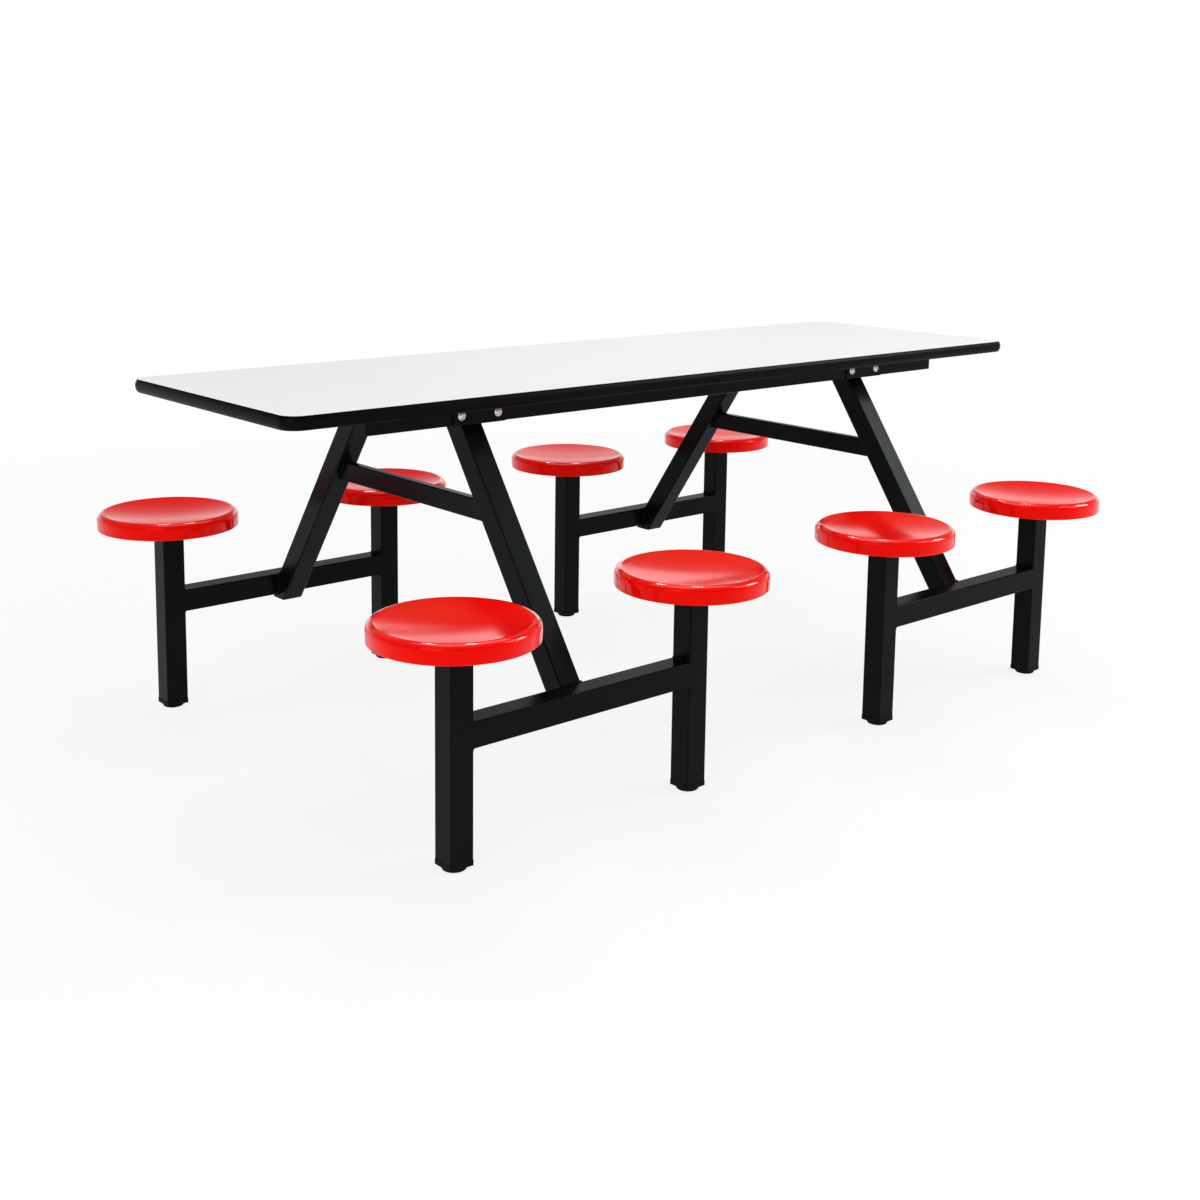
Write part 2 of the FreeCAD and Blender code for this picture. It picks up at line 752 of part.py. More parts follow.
def make_seat_shell(name, x, y):
    """Dished disc with a rolled rim, a skirt, screw bosses and ribs. Its origin is at rim height."""
    body = new_body(name)
    dish_end = ("DishRadius * DishSine", "-DishDepth + DishRadius * (1 - DishCosine)")
    under_end = ("CrestX - (CrestRadius - ShellThickness) * DishSine",
                 "-CrestRadius + (CrestRadius - ShellThickness) * DishCosine")
    revolve(body, [
        ("0", "-DishDepth - ShellThickness", "DishRadius + ShellThickness", 1),
        (*under_end, "CrestRadius - ShellThickness", -1),
        ("CrestX", "-ShellThickness", "RollRadius - ShellThickness", -1),
        ("SeatRadius - ShellThickness", "-RollRadius"),
        ("SeatRadius - ShellThickness", "-SeatSkirt", "ShellThickness", 1),
        ("SeatRadius", "ShellThickness - SeatSkirt"),
        ("SeatRadius", "-RollRadius", "RollRadius", 1),
        ("CrestX", "0", "CrestRadius", 1),
        (*dish_end, "DishRadius", -1),
        ("0", "-DishDepth"),
    ])
    boss_base = "-DishDepth - ShellThickness - BossHeight"
    bosses = sketch_on(body, "XY_Plane", boss_base)
    for spot in boss_spots():
        circle(bosses, *spot, "BossRadius")
    pad(body, bosses, "BossHeight + ShellThickness / 2")
    holes = sketch_on(body, "XY_Plane", boss_base)
    for spot in boss_spots():
        circle(holes, *spot, "SeatScrewRadius + HoleClearance")
    pocket(body, holes, "SeatScrewHoleDepth")
    # A rib's upper edge runs inside the shell's thickness, so it joins the shell all along.
    rib = sketch_on(body, "XZ_Plane")
    outline(rib, [
        ("RibStart", "-RibDrop"),
        ("SeatRadius - ShellThickness / 2", "-RibDrop"),
        ("SeatRadius - ShellThickness / 2", "-RollRadius", "RollRadius - ShellThickness / 2", 1),
        ("CrestX", "-ShellThickness / 2"),
        ("RibStart", "-DishDepth - ShellThickness / 2 + RibStart ^ 2 / (2 * DishRadius)"),
    ])
    first_rib = pad(body, rib, "RibThickness", way=0)
    ribs = body.newObject("PartDesign::PolarPattern", f"{name}_ribs")
    ribs.Originals = [first_rib]
    ribs.Axis = (rib, ["V_Axis"])
    ribs.Angle = 360
    bind(ribs, Occurrences="RibCount")
    body.Tip = ribs
    store(name, place(body, x, y, "SeatHeight"))


def make_spindle(name, x, y):
    """Shaft in the bush, with the flange that carries the seat. Its origin is at the post's top."""
    body = new_body(name)
    revolve(body, [
        ("0", "-ClipTop - SpindleTail"),
        ("SpindleRadius - ClipGrooveDepth", "-ClipTop - SpindleTail"),
        ("SpindleRadius", "-ClipTop - SpindleTail + ClipGrooveDepth"),
        ("SpindleRadius", "-ClipTop - GrooveHeight"),
        ("SpindleRadius - ClipGrooveDepth", "-ClipTop - GrooveHeight"),
        ("SpindleRadius - ClipGrooveDepth", "-ClipTop"),
        ("SpindleRadius", "-ClipTop"),
        ("SpindleRadius", "SpindleSeat"),
        ("SpindleFlangeRadius", "SpindleSeat"),
        ("SpindleFlangeRadius", "SpindleSeat + SpindleFlange"),
        ("0", "SpindleSeat + SpindleFlange"),
    ])
    holes = sketch_on(body, "XY_Plane")
    for spot in boss_spots():
        circle(holes, *spot, "SeatScrewRadius + HoleClearance")
    pocket(body, holes, way=1)
    store(name, place(body, x, y, "PostTop"))


def seat_screw_master():
    """Pan-head screw with its head below the spindle's flange."""
    body = new_body("seat_screw")
    revolve(body, [
        ("0", "-SeatScrewHeadHeight"),
        ("SeatScrewHeadRadius * 0.7", "-SeatScrewHeadHeight"),
        ("SeatScrewHeadRadius", "-SeatScrewHeadHeight / 2"),
        ("SeatScrewHeadRadius", "0"),
        ("SeatScrewRadius", "0"),
        ("SeatScrewRadius", "SeatScrewLength - SeatScrewRadius"),
        ("0", "SeatScrewLength"),
    ])
    return body


def clip_master():
    """Retaining ring in the spindle's groove, under the bush."""
    body = new_body("retaining_clip")
    ring = sketch_on(body, "XY_Plane")
    circle(ring, "0", "0", "ClipRadius")
    circle(ring, "0", "0", "SpindleRadius - ClipGrooveDepth + ClipPlay")
    pad(body, ring, "ClipThickness", way=-1)
    return body


def make_seat_fasteners(name, x, y, screw, clip):
    """The four screws and the retaining clip of one seat."""
    screws = [(f"{x} + {across}", f"{y} + {along}", "PostTop + SpindleSeat")
              for across, along in boss_spots()]
    clips = [(x, y, "PostTop - ClipTop - ClipPlay")]
    store_group(name, group(f"{name}_screw", screw, screws), group(f"{name}_clip", clip, clips))


# ---------------------------------------------------------------- the whole table


def build():
    """Make every node."""
    make_core()
    make_laminate()
    make_edge_band()
    for side_name, sign in SIDES.items():
        make_rail(side_name, sign)
    make_rail_plugs()
    make_top_screws()
    make_plates("clamp_plates", "ClampPlateThickness", "RailOuterY + ClampPlateThickness / 2")
    make_plates("leg_plates", "LegPlateThickness", "RailInnerY - LegPlateThickness / 2")
    make_bolts()
    make_nuts()
    for end_name, end in ENDS.items():
        make_crossbar(end_name, end)
        for side_name, sign in SIDES.items():
            make_leg(end_name, end, side_name, sign)
            make_seat_bar(end_name, end, side_name, sign)
    make_posts()
    make_end_caps()
    make_pivot_housings()
    make_pivot_bushes()
    screw, clip = seat_screw_master(), clip_master()
    for side_name, sign in SIDES.items():
        for count, (end, half) in enumerate(SEAT_ENDS, start=1):
            x, y = post_x(ENDS[end], half), mirrored(sign, "PostCentreY")
            make_foot(f"foot_{side_name}_{count}", x, y)
            make_seat_shell(f"seat_shell_{side_name}_{count}", x, y)
            make_spindle(f"seat_spindle_{side_name}_{count}", x, y)
            make_seat_fasteners(f"seat_fasteners_{side_name}_{count}", x, y, screw, clip)
    document.recompute()


def check():
    """Stop if any object failed, or if a node is not a valid solid."""
    for item in document.Objects:
        if {"Invalid", "Error"} & set(item.State):
            raise RuntimeError(f"{item.Name} failed: {item.State}")
    for name, item in nodes.items():
        if item.Shape.isNull() or not item.Shape.isValid() or not item.Shape.Solids:
            raise RuntimeError(f"{name} has no valid shape")


build()
check()
os.makedirs("parts", exist_ok=True)
for name, item in nodes.items():
    item.Shape.exportStep(f"parts/{name}.step")
print(len(nodes), "nodes,", sum(len(item.Shape.Solids) for item in nodes.values()), "solids")
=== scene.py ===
# %% [markdown]
# # A canteen table with eight swivel seats
#
# The shapes of this table come from a CAD model, which is loaded first and is never moved or changed.
# This notebook gives every piece its finish. It also builds in Blender what CAD leaves coarse or leaves
# out: the turned seat shells, the rounded edge band, the weld beads and the eased edges of small parts.
# Everything is in metres, +X along the table, +Y to the back and +Z up, with the floor at 0.

# %% Load the frame
import json
import math

import bmesh
import bpy
from mathutils import Matrix, Vector


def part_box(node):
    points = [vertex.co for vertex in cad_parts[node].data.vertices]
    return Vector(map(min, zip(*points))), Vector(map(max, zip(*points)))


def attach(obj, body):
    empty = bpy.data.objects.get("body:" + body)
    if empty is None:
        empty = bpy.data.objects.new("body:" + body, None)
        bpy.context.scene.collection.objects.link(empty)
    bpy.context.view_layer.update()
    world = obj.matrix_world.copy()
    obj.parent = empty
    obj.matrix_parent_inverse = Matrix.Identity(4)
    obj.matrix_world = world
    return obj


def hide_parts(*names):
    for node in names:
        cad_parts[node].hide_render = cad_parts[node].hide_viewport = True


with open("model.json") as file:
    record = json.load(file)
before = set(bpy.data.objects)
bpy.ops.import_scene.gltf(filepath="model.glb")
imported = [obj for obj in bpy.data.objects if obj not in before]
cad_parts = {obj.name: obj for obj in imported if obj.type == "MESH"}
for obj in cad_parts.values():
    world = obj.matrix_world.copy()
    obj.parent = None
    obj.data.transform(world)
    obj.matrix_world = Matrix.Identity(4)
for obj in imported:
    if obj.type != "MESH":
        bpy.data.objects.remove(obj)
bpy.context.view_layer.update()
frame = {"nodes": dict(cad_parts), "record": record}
MM = 0.001

# %% [markdown]
# ## Camera
#
# The table is seen from in front of its left end, from a little above the top. Upright posts stay almost
# upright in such a picture because the camera looks nearly level, and the lens is shifted down to bring
# the table to the middle. A tilted camera without shift would make the posts run together downwards.

# %% Place the camera
PICTURE = 1200
FOCAL_PIXELS = 1571.22
CAMERA_PLACE = Vector((-2278.78, -2536.9, 1164.74)) * MM
AZIMUTH, DIP, ROLL = (math.radians(angle) for angle in (41.14, 8.51, 0.76))
SHIFT = -1 / 6
SENSOR = 36

ahead = Vector((math.sin(AZIMUTH) * math.cos(DIP), math.cos(AZIMUTH) * math.cos(DIP), -math.sin(DIP)))
level = Vector((math.cos(AZIMUTH), -math.sin(AZIMUTH), 0))
upright = level.cross(ahead)
right = level * math.cos(ROLL) + upright * math.sin(ROLL)
up = upright * math.cos(ROLL) - level * math.sin(ROLL)

lens = bpy.data.cameras.new("camera")
lens.sensor_width = SENSOR
lens.lens = SENSOR * FOCAL_PIXELS / PICTURE
lens.shift_y = SHIFT
camera = bpy.data.objects.new("camera", lens)
camera.matrix_world = Matrix((right, up, -ahead)).transposed().to_4x4()
camera.location = CAMERA_PLACE
bpy.context.scene.collection.objects.link(camera)
bpy.context.scene.camera = camera
bpy.context.scene.view_settings.view_transform = "Standard"
print("lens", round(lens.lens, 2), "mm")

# %% [markdown]
# ## Node trees as Python
#
# Materials and Geometry Nodes are both trees of nodes. Two small classes write them: `Wire` is an output
# that takes part in arithmetic, and `Nodes` adds any node with its settings and the values or links of
# its sockets. A formula such as `0.3 + 0.1 * noise` then reads as it would on paper.

# %% Wires and nodes


class Wire:
    """An output in a node tree. Arithmetic on it adds Math nodes."""

    def __init__(self, nodes, socket):
        self.nodes, self.socket = nodes, socket

    def math(self, operation, first, second):
        return self.nodes.add("ShaderNodeMath", {"operation": operation}, {0: first, 1: second})

    def __add__(self, other):
        return self.math("ADD", self, other)

    def __sub__(self, other):
        return self.math("SUBTRACT", self, other)

    def __rsub__(self, other):
        return self.math("SUBTRACT", other, self)

    def __mul__(self, other):
        return self.math("MULTIPLY", self, other)

    def __truediv__(self, other):
        return self.math("DIVIDE", self, other)

    def __rtruediv__(self, other):
        return self.math("DIVIDE", other, self)

    def __gt__(self, other):
        return self.math("GREATER_THAN", self, other)

    __radd__ = __add__
    __rmul__ = __mul__


class Nodes:
    """Adds nodes to one tree."""

    def __init__(self, tree):
        self.tree = tree

    def add(self, kind, settings=None, sockets=None, output=0):
        """A new node: its settings first, then the values or links of its sockets."""
        node = self.tree.nodes.new(kind)
        for name, value in (settings or {}).items():
            if name == "stops":
                self.set_stops(node.color_ramp.elements, value)
            else:
                setattr(node, name, value)
        for name, value in (sockets or {}).items():
            self.feed(node.inputs[name], value)
        return Wire(self, node.outputs[output])

    def feed(self, socket, value):
        """Link wires to a socket, or set its value."""
        wires = value if isinstance(value, list) else [value]
        if isinstance(wires[0], Wire):
            for wire in wires:
                self.tree.links.new(wire.socket, socket)
        else:
            socket.default_value = value

    @staticmethod
    def set_stops(elements, stops):
        """Colours of a ramp, as (position, colour) or (position, grey)."""
        while len(elements) < len(stops):
            elements.new(1)
        for element, (position, shade) in zip(elements, stops):
            element.position = position
            element.color = (*shade, 1) if isinstance(shade, tuple) else (shade, shade, shade, 1)


# %% [markdown]
# ## Finishes
#
# A finish is one Principled shader with nodes before it. Patterns read Object coordinates, which are
# metres on the table itself, so a size in millimetres is simply `1 / size` as a texture's scale.
# Roughness and a fine bump vary a little everywhere: real paint and plastic are never one flat value.

# %% The Finish class


class Finish(Nodes):
    """A material round one Principled shader."""

    def __init__(self, name, **values):
        self.material = bpy.data.materials.new(name)
        self.material.use_nodes = True
        super().__init__(self.material.node_tree)
        self.shader = self.tree.nodes["Principled BSDF"]
        self.place = self.add("ShaderNodeTexCoord", output="Object")
        self.paint(**values)

    def paint(self, **values):
        """Values or wires for the shader's sockets, with _ for a space in their names."""
        for name, value in values.items():
            self.feed(self.shader.inputs[name.replace("_", " ")], value)

    def stretched(self, *stretch):
        """The place on the table, stretched along its three axes."""
        return self.add("ShaderNodeMapping", {"vector_type": "TEXTURE"},
                        {"Vector": self.place, "Scale": stretch})

    def noise(self, size, detail=2, place=None):
        """Soft noise from 0 to 1 whose blotches are about that many millimetres across."""
        return self.add("ShaderNodeTexNoise", None,
                        {"Vector": place or self.place, "Scale": 1 / (size * MM), "Detail": detail})

    def cells(self, size, feature="F1", output="Color", place=None):
        """Random cells about that many millimetres across."""
        return self.add("ShaderNodeTexVoronoi", {"feature": feature},
                        {"Vector": place or self.place, "Scale": 1 / (size * MM)}, output)

    def ramp(self, factor, *stops):
        """A colour for each value of a factor."""
        return self.add("ShaderNodeValToRGB", {"stops": stops}, {"Fac": factor})

    def mix(self, mask, first, second):
        """The first colour where the mask is 0, the second where it is 1."""
        colours = {6: first, 7: second}
        padded = {key: (*value, 1) if isinstance(value, tuple) else value for key, value in colours.items()}
        return self.add("ShaderNodeMix", {"data_type": "RGBA"}, {0: mask, **padded}, 2)

    def bump(self, height, depth, strength=1.0):
        """Relief that many millimetres deep."""
        normal = self.add("ShaderNodeBump", None,
                          {"Height": height, "Distance": depth * MM, "Strength": strength})
        self.paint(Normal=normal)


# %% [markdown]
# ### Frame paint
#
# Powder coat is melted onto the steel. It is satin, nearly black, and has the faint dimples that painters
# call orange peel. It reflects little when seen square on and much more at a grazing angle, so the upper
# faces of the tubes look grey while their sides stay black. A low specular level gives that contrast.

# %% Make the frame paint
frame_paint = Finish("frame_paint", Specular_IOR_Level=0.055, Specular_Tint=(0.8, 0.95, 1, 1))
cloudy = frame_paint.noise(60, 3)
peel = frame_paint.noise(1.8, 1)
frame_paint.paint(
    Base_Color=frame_paint.mix(cloudy, (0.0028, 0.0032, 0.0036), (0.0045, 0.005, 0.0055)),
    Roughness=0.2 + 0.1 * cloudy,
)
frame_paint.bump(peel, 0.03, 0.5)
print(frame_paint.material.name, "made with", len(frame_paint.tree.nodes), "nodes")

# %% [markdown]
# ### Laminate, edge band and board
#
# The laminate is a hard white sheet pressed against a fine texture, so its bump is tiny and its sheen
# soft. The band is black PVC that came out of an extruder, which leaves faint lines along its length:
# noise squeezed in Z alone gives lines that run round the whole top. The board under it is pressed from
# wood chips, and random cells in a few wood colours look like them.

# %% Make the finishes of the top
laminate = Finish("laminate", Specular_IOR_Level=0.02)
mottle = laminate.noise(90, 3)
grain = laminate.noise(0.9, 2)
laminate.paint(
    Base_Color=laminate.mix(mottle, (0.79, 0.793, 0.797), (0.815, 0.815, 0.815)),
    Roughness=0.42 + 0.1 * mottle,
)
laminate.bump(grain, 0.02, 0.4)

LINE_STRETCH = (400, 400, 1.3)
edge_band = Finish("edge_band", Specular_IOR_Level=0.042, Specular_Tint=(0.85, 0.96, 1, 1))
extrusion_lines = edge_band.noise(1, 2, edge_band.stretched(*LINE_STRETCH))
scuffs = edge_band.noise(25, 4)
edge_band.paint(
    Base_Color=edge_band.mix(scuffs, (0.0018, 0.0018, 0.002), (0.0035, 0.0035, 0.0038)),
    Roughness=0.26 + 0.12 * scuffs,
)
edge_band.bump(extrusion_lines, 0.03, 0.5)

CHIP_STRETCH = (2.2, 1, 1)
board = Finish("board", Specular_IOR_Level=0.2)
chips = board.cells(6, place=board.stretched(*CHIP_STRETCH))
chip_tone = board.add("ShaderNodeSeparateColor", None, {"Color": chips})
board.paint(
    Base_Color=board.ramp(chip_tone, (0, (0.36, 0.23, 0.12)), (0.5, (0.52, 0.37, 0.2)),
                          (1, (0.66, 0.51, 0.32))),
    Roughness=0.7 + 0.15 * chip_tone,
)
board.bump(board.noise(2, 3), 0.2, 0.5)
for finish in (laminate, edge_band, board):
    print(finish.material.name, "made with", len(finish.tree.nodes), "nodes")

# %% [markdown]
# ### Seat plastic
#
# The seats are moulded in bright red polypropylene in a polished mould, so the rims are glossy. People
# rub the dish duller, and flow marks make the gloss a little uneven everywhere. The distance from a
# seat's middle tells dish from rim. All eight middles fold onto one with absolute values, since the table
# is its own mirror image. The plastic reflects its own red, as saturated plastic seems to in soft light,
# and a clear coat on a ring along the rim alone adds white glints. Shrinkage leaves waves too shallow to
# see except in a reflection.

# %% Make the seat plastic
seat_plastic = Finish("seat_plastic", Specular_Tint=(1, 0.08, 0.055, 1), Coat_Roughness=0.08)
low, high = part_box("seat_shell_front_1")
first_seat = (low + high) / 2
low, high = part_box("seat_shell_front_2")
second_seat = (low + high) / 2
between = (-(first_seat.x + second_seat.x) / 2, -first_seat.y, 0)
apart = ((second_seat.x - first_seat.x) / 2, 0, 0)
folded = seat_plastic.place
for middle in (between, apart):
    folded = seat_plastic.add("ShaderNodeVectorMath", {"operation": "ABSOLUTE"}, {0: folded})
    folded = seat_plastic.add("ShaderNodeVectorMath", {"operation": "SUBTRACT"}, {0: folded, 1: middle})
folded = seat_plastic.add("ShaderNodeVectorMath", {"operation": "MULTIPLY"}, {0: folded, 1: (1, 1, 0)})
from_middle = seat_plastic.add("ShaderNodeVectorMath", {"operation": "LENGTH"}, {0: folded}, output="Value")
DISH_END, RIM_START = 118 * MM, 134 * MM
DISH_ROUGHNESS, RIM_ROUGHNESS = 0.13, 0.04
dish_gloss = seat_plastic.add("ShaderNodeMapRange", None,
                              {"Value": from_middle, "From Min": DISH_END, "From Max": RIM_START,
                               "To Min": DISH_ROUGHNESS, "To Max": RIM_ROUGHNESS})
COAT_FROM, COAT_TO = 130.5 * MM, 142.5 * MM
flow = seat_plastic.noise(45, 3)
rubbed = seat_plastic.noise(9, 4)
seat_plastic.paint(
    Base_Color=seat_plastic.mix(flow, (0.95, 0.003, 0.0015), (0.98, 0.005, 0.003)),
    Roughness=dish_gloss + 0.05 * flow + 0.04 * rubbed,
    Coat_Weight=(from_middle > COAT_FROM) - (from_middle > COAT_TO),
)
seat_plastic.bump(seat_plastic.noise(30, 1), 0.12, 0.3)
print("seats", round(2 * apart[0] / MM), "mm apart,", round(-first_seat.y / MM), "mm from the middle")

# %% [markdown]
# ### Zinc, black plastic and white plastic
#
# Bolts, spindles and screws are zinc plated: metallic, with small patches that differ in gloss where the
# crystals differ. Caps, plugs and feet are matt plastic with a fine spark-eroded grain. The bushes inside
# the posts are plain white plastic.

# %% Make the finishes of the small parts
zinc = Finish("zinc", Metallic=1.0)
spangle = zinc.add("ShaderNodeSeparateColor", None, {"Color": zinc.cells(1.6)})
zinc.paint(
    Base_Color=zinc.mix(spangle, (0.66, 0.67, 0.69), (0.8, 0.81, 0.82)),
    Roughness=0.3 + 0.16 * spangle,
)
zinc.bump(zinc.noise(0.6, 2), 0.02, 0.4)

black_plastic = Finish("black_plastic", Specular_IOR_Level=0.06)
dusty = black_plastic.noise(14, 4)
black_plastic.paint(
    Base_Color=black_plastic.mix(dusty, (0.003, 0.003, 0.0032), (0.006, 0.006, 0.0062)),
    Roughness=0.42 + 0.16 * dusty,
)
black_plastic.bump(black_plastic.noise(0.5, 1), 0.03, 0.6)

white_plastic = Finish("white_plastic", Specular_IOR_Level=0.4)
milky = white_plastic.noise(10, 2)
white_plastic.paint(
    Base_Color=white_plastic.mix(milky, (0.74, 0.73, 0.7), (0.8, 0.79, 0.76)),
    Roughness=0.4 + 0.1 * milky,
)
white_plastic.bump(white_plastic.noise(0.6, 1), 0.02, 0.4)
for finish in (zinc, black_plastic, white_plastic):
    print(finish.material.name, "made with", len(finish.tree.nodes), "nodes")

# %% [markdown]
# ### Finishes onto the frame
#
# A CAD node keeps its mesh and takes a finish through its material slot. The record names a slot for
# each node, so one dictionary from slot to finish dresses them all.

# %% Dress the CAD nodes
FINISHES = {
    "frame_paint": frame_paint,
    "laminate": laminate,
    "edge_band": edge_band,
    "board": board,
    "seat_plastic": seat_plastic,
    "zinc_steel": zinc,
    "black_plastic": black_plastic,
    "white_plastic": white_plastic,
}
slot_of = {row["node"]: row["material_slot"] for row in frame["record"]["subparts"]}
for name, node in frame["nodes"].items():
    node.material_slots[0].material = FINISHES[slot_of[name]].material
print("finishes on", len(slot_of), "nodes")

# %% [markdown]
# ## Recipes in Geometry Nodes
#
# A recipe is a Geometry Nodes tree with named inputs. It runs on a drawn line, and the result is baked to
# a plain mesh: that mesh is what rides on the frame, and the modifier and the drawn line are thrown away.
# An input is set by its identifier, since names may repeat, and before the object is first evaluated.

# %% The Recipe class and the baking
MERGE = 0.01 * MM


class Recipe(Nodes):
    """A Geometry Nodes tree with named inputs that makes a mesh from a drawn line."""

    KINDS = {"number": "NodeSocketFloat", "count": "NodeSocketInt", "place": "NodeSocketVector",
             "line": "NodeSocketObject", "finish": "NodeSocketMaterial"}

    def __init__(self, name, **inputs):
        super().__init__(bpy.data.node_groups.new(name, "GeometryNodeTree"))
        face = self.tree.interface
        face.new_socket("Geometry", in_out="OUTPUT", socket_type="NodeSocketGeometry")
        face.new_socket("Line", in_out="INPUT", socket_type="NodeSocketGeometry")
        for label, kind in {**inputs, "Finish": "finish"}.items():
            face.new_socket(label, in_out="INPUT", socket_type=self.KINDS[kind])
        self.start = self.tree.nodes.new("NodeGroupInput")
        self.end = self.tree.nodes.new("NodeGroupOutput")

    def __getitem__(self, name):
        """The wire of a named input."""
        return Wire(self, self.start.outputs[name])

    def swept(self, path, section, **sockets):
        """A section swept along a path. It is drawn anticlockwise, with X outwards and Y up."""
        section = self.add("GeometryNodeTransform", None, {0: section, "Scale": (1, -1, 1)})
        section = self.add("GeometryNodeReverseCurve", None, {0: section})
        return self.add("GeometryNodeCurveToMesh", None, {0: path, 1: section, **sockets})

    def serve(self, *meshes, crease=35):
        """End the tree: joined real geometry, smooth but for its sharp edges, with the finish on it."""
        joined = self.add("GeometryNodeJoinGeometry", None, {0: list(meshes)})
        real = self.add("GeometryNodeRealizeInstances", None, {0: joined})
        whole = self.add("GeometryNodeMergeByDistance", None, {0: real, "Distance": MERGE})
        turn = self.add("GeometryNodeInputMeshEdgeAngle")
        sharp = self.add("GeometryNodeSetShadeSmooth", {"domain": "EDGE"},
                         {0: whole, "Selection": turn > math.radians(crease), "Shade Smooth": False})
        done = self.add("GeometryNodeSetMaterial", None, {0: sharp, "Material": self["Finish"]})
        self.tree.links.new(done.socket, self.end.inputs[0])

    def bake(self, name, line, finish, body, replaced=(), **values):
        """Run the recipe on a drawn line and keep the result as a plain piece on a body."""
        drawn = bpy.data.objects.new(f"{name}_line", line)
        bpy.context.scene.collection.objects.link(drawn)
        modifier = drawn.modifiers.new(name, "NODES")
        modifier.node_group = self.tree
        values["Finish"] = finish.material
        for socket in self.tree.interface.items_tree:
            if socket.in_out == "INPUT" and socket.name in values:
                modifier[socket.identifier] = values[socket.name]
        seen = drawn.evaluated_get(bpy.context.evaluated_depsgraph_get())
        mesh = bpy.data.meshes.new_from_object(seen)
        bpy.data.objects.remove(drawn)
        return keep(name, mesh, body, replaced)


def keep(name, mesh, body, replaced=()):
    """Make a mesh a finished piece: on a body, with its finish, in place of the CAD nodes it stands for."""
    mesh.name = name
    piece = bpy.data.objects.new(name, mesh)
    bpy.context.scene.collection.objects.link(piece)
    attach(piece, body)
    if replaced:
        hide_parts(*replaced)
    print(name, len(mesh.polygons), "faces")
    return piece


# %% [markdown]
# Sections and paths are drawn in Python as lists of points. Outlines are in millimetres, as a workshop
# drawing has them, and become metres just before they are made a mesh of edges.

# %% Lines and arcs


def drawn_lines(*lines):
    """A mesh of edges along lines. A line is its points, ending with its first point if it closes."""
    mesh = bpy.data.meshes.new("lines")
    points, edges = [], []
    for line in lines:
        first = len(points)
        closed = line[0] == line[-1]
        points += line[:-1] if closed else line
        edges += [(step, step + 1) for step in range(first, len(points) - 1)]
        if closed:
            edges.append((len(points) - 1, first))
    mesh.from_pydata(points, edges, [])
    return mesh


def arc(centre, radius, start, end, steps):
    """Points in millimetres along an arc between two angles in degrees."""
    angles = [math.radians(start + (end - start) * step / steps) for step in range(steps + 1)]
    return [(centre[0] + radius * math.cos(angle), centre[1] + radius * math.sin(angle)) for angle in angles]


def in_metres(outline):
    """An outline drawn in millimetres on a plane, as points in metres."""
    return [(x * MM, y * MM, 0) for x, y in outline]


# %% [markdown]
# ## Seat shells
#
# A seat is moulded in one piece: a shallow dish to sit in, a rolled rim, and a skirt that hides the
# hollow underside. It could be a lathe object made with Screw or Spin. Here the outline is drawn once,
# from under the middle round the skirt and the rim to the dish, and a recipe sweeps it round a circle.
# The crest between dish and rim is small and crisp, which catches a thin line of light. So does a narrow
# flat land on the roll of the rim, where the two halves of the mould meet: its outline skips ten degrees
# of the arc. Under the shell the same recipe sets ribs round the middle, and a boss for each screw.

# %% Draw the outline of a seat
SEAT_RADIUS, SKIRT, SHELL = 145, 34, 4
RIM_ROLL, CREST, DISH_DEPTH = 13, 5, 11
LAND_START, LAND_END = 71, 61
SKIRT_EASE, INNER_EASE = 2.5, 0.5
crest_x = SEAT_RADIUS - RIM_ROLL
dish = (crest_x**2 + (CREST - DISH_DEPTH) ** 2 - CREST**2) / (2 * DISH_DEPTH)
slope = math.degrees(math.asin(crest_x / (dish + CREST)))
dish_centre, roll_centre, crest_centre = (0, dish - DISH_DEPTH), (crest_x, -RIM_ROLL), (crest_x, -CREST)
top_line = (
    arc(dish_centre, dish, -90, slope - 90, 16)
    + arc(crest_centre, CREST, 90 + slope, 90, 6)[1:]
    + arc(roll_centre, RIM_ROLL, 90, LAND_START, 4)[1:]
    + arc(roll_centre, RIM_ROLL, LAND_END, 0, 10)
)
outer_foot = (SEAT_RADIUS - SKIRT_EASE, SKIRT_EASE - SKIRT)
inner_foot = (SEAT_RADIUS - SHELL + INNER_EASE, INNER_EASE - SKIRT)
skirt_line = arc(outer_foot, SKIRT_EASE, 0, -90, 5) + arc(inner_foot, INNER_EASE, -90, -180, 2)
under_line = arc(roll_centre, RIM_ROLL - SHELL, 0, 90, 6)
under_line += arc(dish_centre, dish + SHELL, slope - 90, -90, 12)
seat_outline = in_metres((top_line + skirt_line + under_line)[::-1])
RIB_START, RIB_END, RIB_FOOT, RIB_SINK = 60, 143, -25, 2
BOSS_BORE, BOSS_RADIUS, BOSS_FOOT, BOSS_HEAD = 1.7, 6, -21, -12
rib_outline = [(RIB_START, RIB_FOOT), (RIB_END, RIB_FOOT), (RIB_END, -RIM_ROLL), (133, -1.6)]
rib_outline += [(x, dish - DISH_DEPTH - math.sqrt((dish + RIB_SINK) ** 2 - x**2))
                for x in (110, 85, RIB_START)]
boss_outline = [(BOSS_BORE, BOSS_FOOT), (BOSS_RADIUS, BOSS_FOOT), (BOSS_RADIUS, BOSS_HEAD),
                (BOSS_BORE, BOSS_HEAD), (BOSS_BORE, BOSS_FOOT)]
print(len(seat_outline), "points in the outline,", round(slope, 1), "degrees at the crest")

# %% [markdown]
# The recipe gets the place of the seat as an input, because the finished mesh must already be where it
# belongs while its object stays at the origin. The rib's and the bosses' outlines come in as objects.

# %% The seat recipe
seat_recipe = Recipe("seat shell", Place="place", Facets="count", Ribs="count", Rib="line", Boss="line",
                     Thickness="number", Spread="number")


